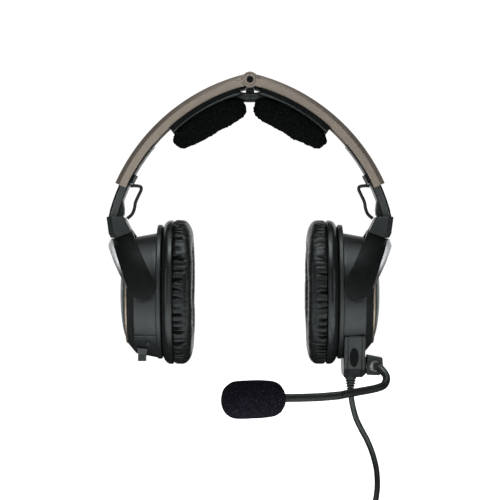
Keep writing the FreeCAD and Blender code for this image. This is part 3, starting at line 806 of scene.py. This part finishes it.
def add_pad_rims():
    """The raised lip round the lower edge of each pad carrier."""
    radius, half_width, first, last = 118.5, 13.1, 47.3, 73.2
    corners = [(angle, -half_width) for angle in np.linspace(first, last, 14)]
    corners += [(angle, half_width) for angle in np.linspace(last, first, 14)]
    rings = []
    for angle, y in corners:
        outwards = math.copysign(0.7, y)
        rings.append([
            on_arc(radius + b * 0.85, angle, y + a * outwards) for a, b in circle(1.0, 14)
        ])
    for side, _, obj in both(from_rings("left_pad_rim", rings, loop=True)):
        paint(obj, plastic)
        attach(obj, f"{side}_arm")


def arc_strip(name, section, first, last):
    """A bar bent round the arm's arc; section is (radius, depth) corners, angles in degrees."""
    rings = []
    for angle in np.linspace(first, last, 24):
        rings.append([on_arc(radius, angle, y) for radius, y in section])
    obj = from_rings(name, rings)
    obj.data.polygons.foreach_set("use_smooth", [False] * len(obj.data.polygons))
    return obj


def add_linings():
    """The black lining under the arms beside the hinge, and the black outer edge of the sliders."""
    lining = [(121.2, -8.6), (122.55, -8.8), (122.55, 8.8), (121.2, 8.6)]
    edge = [(126.75, -9.36), (127.5, -9.36), (127.68, -9.1), (127.68, 9.1), (127.5, 9.36),
            (126.75, 9.36)]
    for kind, section, first, last, body in (
        ("hinge_lining", lining, 72.6, 75.0, "arm"), ("slider_edge", edge, 15.4, 34.0, "slider"),
    ):
        for side, _, obj in both(arc_strip(f"left_{kind}", section, first, last)):
            paint(obj, carrier_plastic)
            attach(obj, f"{side}_{body}")


def add_slider_fins():
    """The black web behind each slider, where the wire goes into the yoke."""
    root = 122.4
    corners = [
        (14.6, root), (14.6, 118.8), (15.8, 118.2), (17.2, 118.9), (18.8, 120.4), (20.6, root),
    ]
    rings = []
    for y, inset in ((-6.0, 0.3), (-5.4, 0.0), (5.4, 0.0), (6.0, 0.3)):
        rings.append([
            on_arc(radius + (inset if radius < root else 0.0), angle, y)
            for angle, radius in corners
        ])
    for side, _, obj in both(from_rings("left_slider_fin", rings)):
        obj.data.polygons.foreach_set("use_smooth", [False] * len(obj.data.polygons))
        paint(obj, plastic_dark)
        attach(obj, f"{side}_slider")


TIP = Vector((21.2, -91.0, -64.5))          # where the gooseneck goes into the windscreen
INSIDE = Vector((-18.6, -101.9, -65.3))     # the windscreen's far end


def add_windscreen():
    """The foam ball over the microphone, a rounded barrel a little slimmer at the boom."""
    way = (INSIDE - TIP).normalized()
    outline = [
        (0.3, 4.8), (0.7, 5.9), (1.9, 7.8), (3.2, 9.3), (5.5, 10.5), (8.3, 11.2), (15.0, 11.8),
        (23.3, 12.05), (29.5, 11.8), (33.3, 11.2), (36.9, 9.0), (38.8, 6.2), (39.8, 3.0),
        (40.1, 0.1),
    ]
    line = evenly(smooth_line([(0.3, 0.1, 0), *[(x, r, 0) for x, r in outline]], 12), 0.4)
    profile = [(p.x, max(p.y, 0.02)) for p in line]
    obj = revolve("windscreen_foam", TIP, way, profile, 150)

    def pores(p):
        lump = noise.noise(p * 0.12) * 0.35
        cell = noise.voronoi(p * 1.05)[0]
        return lump - 0.3 * smoothstep(0.45, 0.05, cell[0]) + noise.noise(p * 1.9) * 0.1

    sculpt(obj, pores)
    paint(obj, foam)
    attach(obj, "mic")
    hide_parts("windscreen")


def add_gooseneck():
    """The ribbed flexible end of the boom, which bends between the tube and the microphone."""
    line = evenly(smooth_line([
        (57.6, -66.0, -64.9), (46.0, -75.6, -65.1), (34.0, -84.0, -64.9),
        TIP + (INSIDE - TIP).normalized() * 1.5,
    ], 30), 0.14)

    def section(travelled):
        rib = abs(math.sin(math.pi * travelled / 1.35)) ** 0.7
        return circle(2.2 + 0.5 * rib)

    obj = sweep("gooseneck_ribs", line, section)
    paint(obj, gooseneck_jacket)
    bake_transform(obj)
    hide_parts("gooseneck")


def add_loop_wires():
    """The wire that follows each slider in and out of its arm."""
    line = evenly(smooth_line([
        (81.2, 0, 71.9), (77.6, 0, 72.0), (74.4, 0, 71.4), (73.9, 0, 69.4), (75.3, 0, 66.2),
        (77.6, 0, 61.2), (78.6, 0, 56.2), (80.2, 0, 52.6), (83.4, 0, 49.8),
    ], 12), 0.35)
    for side, sign, obj in both(sweep("left_wire_loop", line, lambda along: circle(1.12, 16))):
        paint(obj, jacket)
        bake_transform(obj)
        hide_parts(f"{side}_loop_wire")


def add_bridge():
    """The flexible strip under the hinge, fixed to the post and to both pad carriers."""
    line = evenly(smooth_line([
        (-0.4, 0, 131.9), (3.0, 0, 132.0), (6.5, 0, 132.5), (10.0, 0, 133.1), (13.6, 0, 133.5),
        (17.0, 0, 133.4),
    ], 12), 0.5)
    high, wide = 2.9, 8.8
    section = [(squared(a, 0.4) * wide, squared(b, 0.55) * high) for a, b in circle(1.0, 28)]
    for side, sign, obj in both(sweep("left_bridge_strip", line, lambda along: section)):
        paint(obj, rubber)
        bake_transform(obj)
        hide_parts("bridge_band")


def add_strain_relief():
    """The tapered boot under the module, cut by rings that let it flex."""
    profile = [(-0.6, 4.1), (0.8, 4.1), (1.3, 3.85)]
    for ring in range(4):
        start, radius = 2.0 + 1.8 * ring, 3.7 - 0.34 * ring
        profile += [(start, radius), (start + 0.25, radius - 0.1), (start + 0.45, radius - 0.75),
                    (start + 0.8, radius - 0.78), (start + 1.0, radius - 0.2),
                    (start + 1.2, radius - 0.12)]
    profile += [(9.3, 2.35), (10.0, 2.25), (10.2, 2.05)]
    obj = revolve("strain_boot", (68.3, 0, -57.0), (0, 0, -1), profile, 40)
    paint(obj, rubber)
    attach(obj, "left_cup")
    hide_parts("strain_relief")
    return obj


def add_plug():
    """The plug's grip: a boot at the cord, ribs for the fingers and a collar at the pin."""
    way = Vector((0.3, -0.95, 0)).normalized()
    profile = [(0.0, 2.3), (0.3, 2.9), (2.6, 3.3), (2.8, 2.8), (3.2, 2.8), (3.4, 3.6), (5.4, 4.1)]
    profile += [(5.8, 5.0), (6.4, 5.3)]
    for rib in range(9):
        at = 7.0 + 1.3 * rib
        profile += [(at, 5.35), (at + 0.25, 4.9), (at + 0.6, 4.9), (at + 0.85, 5.35)]
    profile += [(19.2, 5.4), (19.4, 5.1), (19.9, 5.1), (20.1, 5.4), (23.5, 5.4), (24.0, 5.0)]
    obj = revolve("plug_grip", PLUG, way, profile, 56)
    paint(obj, rubber)
    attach(obj, "left_cup")
    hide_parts("plug_body")
    return obj


def add_tie():
    """The webbing strap round the coil, with its end lapped over on top."""
    middle_x, low, high, half = 11.25, -170.0, -160.8, 11.8
    near, far = Vector((0, 15.1, 0)), Vector((0, 20.9, 0))
    outline = [(squared(a, 0.35), squared(b, 0.35)) for a, b in circle(1.0, 64)]
    rings = []
    rise, centre_z = (high - low) / 2, (high + low) / 2
    for a, b in outline:
        thick = 0.95 if b > -0.6 else 0.35
        out = Vector((middle_x + a * half, 0, centre_z + b * rise))
        into = Vector((middle_x + a * (half - thick), 0, centre_z + b * (rise - thick)))
        rings.append([out + near, out + far, into + far, into + near])
    strap = from_rings("tie_strap", rings, loop=True)
    lap_points = [(3.5, 18, -160.3), (11, 18, -160.2), (18.5, 18, -160.5)]
    lap_line = evenly(smooth_line(lap_points, 8), 0.8)
    lap = sweep("tie_lap", lap_line, lambda along: [
        (-2.8, -0.45), (2.8, -0.45), (2.9, 0.0), (2.8, 0.4), (-2.8, 0.4), (-2.9, 0.0),
    ])
    for obj in (strap, lap):
        paint(obj, webbing)
        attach(obj, "left_cup")
        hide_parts("cord_tie")
    return strap, lap


add_ear_cushions()
add_base_rings()
add_head_pads()
add_pad_rims()
add_windscreen()
add_gooseneck()
add_loop_wires()
add_slider_fins()
add_linings()
add_bridge()
strain_boot = add_strain_relief()
plug_grip = add_plug()
tie_strap, tie_lap = add_tie()

cord_line.data.materials.append(jacket)
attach(cord_line, "left_cup")
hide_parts("cord", "cord_coil", "cord_lead")


# ---------------------------------------------------------------- floor and light

def add_floor():
    """A pale floor under the coil, left out of reflections."""
    s = Shader("pale_floor", 0.9, specular=0.1, Emission_Strength=0.8,
               Emission_Color=(1.0, 1.0, 1.0, 1.0))
    tone = s.noise(3, 2)
    material = s.done(s.mix(tone, (0.9, 0.9, 0.9), (0.94, 0.94, 0.94)))
    size, height = 12.0, -0.1703
    mesh = bpy.data.meshes.new("floor")
    corners = [(-size, -size, height), (size, -size, height), (size, size, height),
               (-size, size, height)]
    mesh.from_pydata(corners, [], [(0, 1, 2, 3)])
    floor = bpy.data.objects.new("floor", mesh)
    scene.collection.objects.link(floor)
    floor.data.materials.append(material)
    floor.visible_glossy = False


def add_light(name, place, target, width, height, power):
    """A soft rectangular light that the camera doesn't see."""
    data = bpy.data.lights.new(name, "AREA")
    data.shape, data.size, data.size_y = "RECTANGLE", width, height
    data.energy = power
    light = bpy.data.objects.new(name, data)
    light.location = place
    aim = Vector(target) - Vector(place)
    light.rotation_euler = aim.to_track_quat("-Z", "Y").to_euler()
    light.visible_camera = False
    scene.collection.objects.link(light)


def add_sun(strength):
    """Even light on the whole floor, from straight above."""
    data = bpy.data.lights.new("sky", "SUN")
    data.energy, data.angle = strength, math.radians(60)
    scene.collection.objects.link(bpy.data.objects.new("sky", data))


def add_world():
    """A white sky that only the camera sees."""
    world = bpy.data.worlds.new("studio")
    world.use_nodes = True
    background = world.node_tree.nodes["Background"]
    background.inputs["Color"].default_value = (1, 1, 1, 1)
    background.inputs["Strength"].default_value = 1.05
    world.cycles_visibility.diffuse = False
    world.cycles_visibility.glossy = False
    scene.world = world


add_floor()
add_world()
add_sun(0.9)
headset = (0, 0, 0)
add_light("front", (-0.2, -2.1, 0.15), headset, width=0.6, height=1.2, power=4.6)
add_light("low", (0, -0.30, -0.166), (0, -0.30, 1.0), width=0.9, height=0.44, power=2.8)
add_light("high", (0, -0.5, 0.9), headset, width=0.8, height=0.4, power=6.5)
add_light("left_strip", (1.2, -0.8, 0.1), headset, width=0.16, height=0.9, power=2.6)
add_light("right_strip", (-1.2, -0.8, 0.1), headset, width=0.16, height=0.9, power=2.6)
add_light("backdrop", (0, 1.6, 0.35), headset, width=3.2, height=1.4, power=18)
scene.view_settings.view_transform = "Standard"
scene.view_settings.look = "None"
